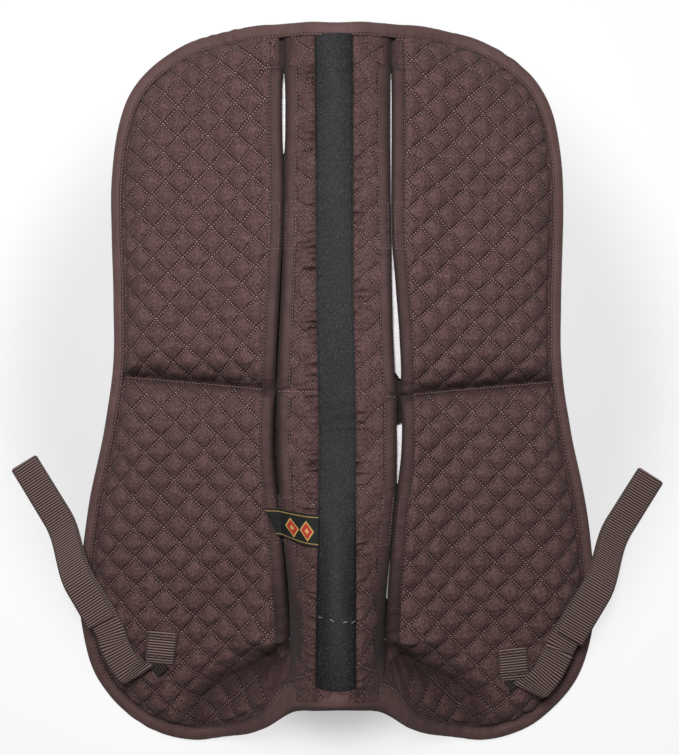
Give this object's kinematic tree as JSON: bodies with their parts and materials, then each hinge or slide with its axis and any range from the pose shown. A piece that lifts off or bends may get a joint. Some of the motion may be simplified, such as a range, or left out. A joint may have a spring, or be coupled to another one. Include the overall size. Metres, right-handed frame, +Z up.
{
  "type": "memory foam half pad",
  "caption": "Quilted half pad with foam inserts in pockets beside a raised spine band, bound edges and webbing straps that loop to a saddle.",
  "frame": {"origin": "middle of the pad's bounding box on the table it lies on", "axes": "+X to the pad's right side, +Y to its front, +Z up; the spine tape runs along Y over X = 0"},
  "size_m": [0.5717, 0.6142, 0.1016],
  "materials": {
    "quilted_cotton": "matte",
    "lining_cotton": "matte",
    "binding_cotton": "matte",
    "memory_foam": "matte, open-celled",
    "spine_tape": "woven, slightly sheeny",
    "webbing": "ribbed",
    "hook_and_loop": "napped",
    "woven_label": "woven"
  },
  "bodies": {
    "spine": {"spine_band": "quilted_cotton", "spine_tape": "spine_tape", "woven_label": "woven_label", "edge_binding_front": "binding_cotton", "edge_binding_rear": "binding_cotton", "spine_binding_left": "binding_cotton", "spine_binding_right": "binding_cotton", "loop_tab_front_left": "hook_and_loop", "loop_tab_rear_left": "hook_and_loop", "loop_tab_front_right": "hook_and_loop", "loop_tab_rear_right": "hook_and_loop"},
    "left_panel": {"panel_lining_left": "lining_cotton", "panel_cover_left": "quilted_cotton", "foam_insert_front_left": "memory_foam", "foam_insert_rear_left": "memory_foam", "edge_binding_left": "binding_cotton", "arch_binding_left": "binding_cotton", "rear_skirt_left": "quilted_cotton", "strap_anchor_left": "webbing"},
    "left_front_mouth": {"mouth_flap_front_left": "quilted_cotton", "mouth_binding_front_left": "binding_cotton", "hook_patch_front_left": "hook_and_loop"},
    "left_rear_mouth": {"mouth_flap_rear_left": "quilted_cotton", "mouth_binding_rear_left": "binding_cotton", "hook_patch_rear_left": "hook_and_loop"},
    "left_billet": {"strap_left": "webbing"},
    "right_panel": {"panel_lining_right": "lining_cotton", "panel_cover_right": "quilted_cotton", "foam_insert_front_right": "memory_foam", "foam_insert_rear_right": "memory_foam", "edge_binding_right": "binding_cotton", "arch_binding_right": "binding_cotton", "rear_skirt_right": "quilted_cotton", "strap_anchor_right": "webbing"},
    "right_front_mouth": {"mouth_flap_front_right": "quilted_cotton", "mouth_binding_front_right": "binding_cotton", "hook_patch_front_right": "hook_and_loop"},
    "right_rear_mouth": {"mouth_flap_rear_right": "quilted_cotton", "mouth_binding_rear_right": "binding_cotton", "hook_patch_rear_right": "hook_and_loop"},
    "right_billet": {"strap_right": "webbing"}
  },
  "joints": [
    {"name": "left_panel_fold", "type": "hinge", "parent": "spine", "child": "left_panel", "pos_m": [-0.0475, 0, 0.036], "axis": [0, 1, 0], "range_deg": [-40, 45], "deforming": ["rear_skirt_left", "arch_binding_left", "loop_tab_front_left", "loop_tab_rear_left", "woven_label"]},
    {"name": "left_front_mouth_open", "type": "hinge", "parent": "left_panel", "child": "left_front_mouth", "pos_m": [-0.088, 0.133, 0.02685], "axis": [0, -1, 0], "range_deg": [0, 60]},
    {"name": "left_rear_mouth_open", "type": "hinge", "parent": "left_panel", "child": "left_rear_mouth", "pos_m": [-0.088, -0.102, 0.02771], "axis": [0, -1, 0], "range_deg": [0, 60]},
    {"name": "left_billet_lift", "type": "hinge", "parent": "left_panel", "child": "left_billet", "pos_m": [-0.165, -0.245, 0.0262], "axis": [0.8488, 0.5287, 0], "range_deg": [0, 70]},
    {"name": "right_panel_fold", "type": "hinge", "parent": "spine", "child": "right_panel", "pos_m": [0.0475, 0, 0.036], "axis": [0, -1, 0], "range_deg": [-40, 45], "deforming": ["rear_skirt_right", "arch_binding_right", "loop_tab_front_right", "loop_tab_rear_right"]},
    {"name": "right_front_mouth_open", "type": "hinge", "parent": "right_panel", "child": "right_front_mouth", "pos_m": [0.088, 0.133, 0.02685], "axis": [0, 1, 0], "range_deg": [0, 60]},
    {"name": "right_rear_mouth_open", "type": "hinge", "parent": "right_panel", "child": "right_rear_mouth", "pos_m": [0.088, -0.102, 0.02771], "axis": [0, 1, 0], "range_deg": [0, 60]},
    {"name": "right_billet_lift", "type": "hinge", "parent": "right_panel", "child": "right_billet", "pos_m": [0.159, -0.257, 0.0262], "axis": [0.8183, -0.5748, 0], "range_deg": [0, 70]}
  ]
}
